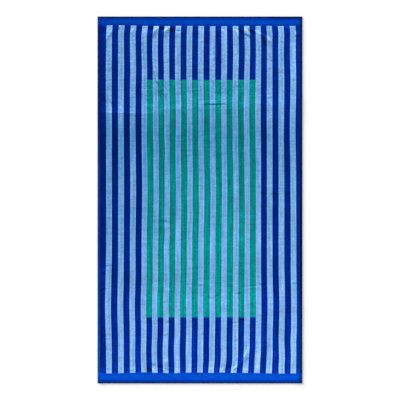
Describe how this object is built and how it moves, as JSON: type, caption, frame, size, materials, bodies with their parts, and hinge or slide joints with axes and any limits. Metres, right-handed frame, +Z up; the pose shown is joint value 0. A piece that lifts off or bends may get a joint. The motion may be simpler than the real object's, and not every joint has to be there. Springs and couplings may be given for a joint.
{
  "type": "beach towel",
  "caption": "Striped velour beach towel laid out flat, with turned side hems and a plain flat-woven band at each end.",
  "frame": {"origin": "middle of the laid-out towel, on the surface that it rests on", "axes": "+X across the towel, +Y along it towards the narrower end band, +Z up out of the velour face"},
  "size_m": [0.9, 1.613, 0.008],
  "materials": {
    "towel_cotton": "yarn-dyed cotton, sheared velour face, looped reverse, flat-woven ends"
  },
  "bodies": {
    "root": {"towel": "towel_cotton"}
  },
  "joints": []
}
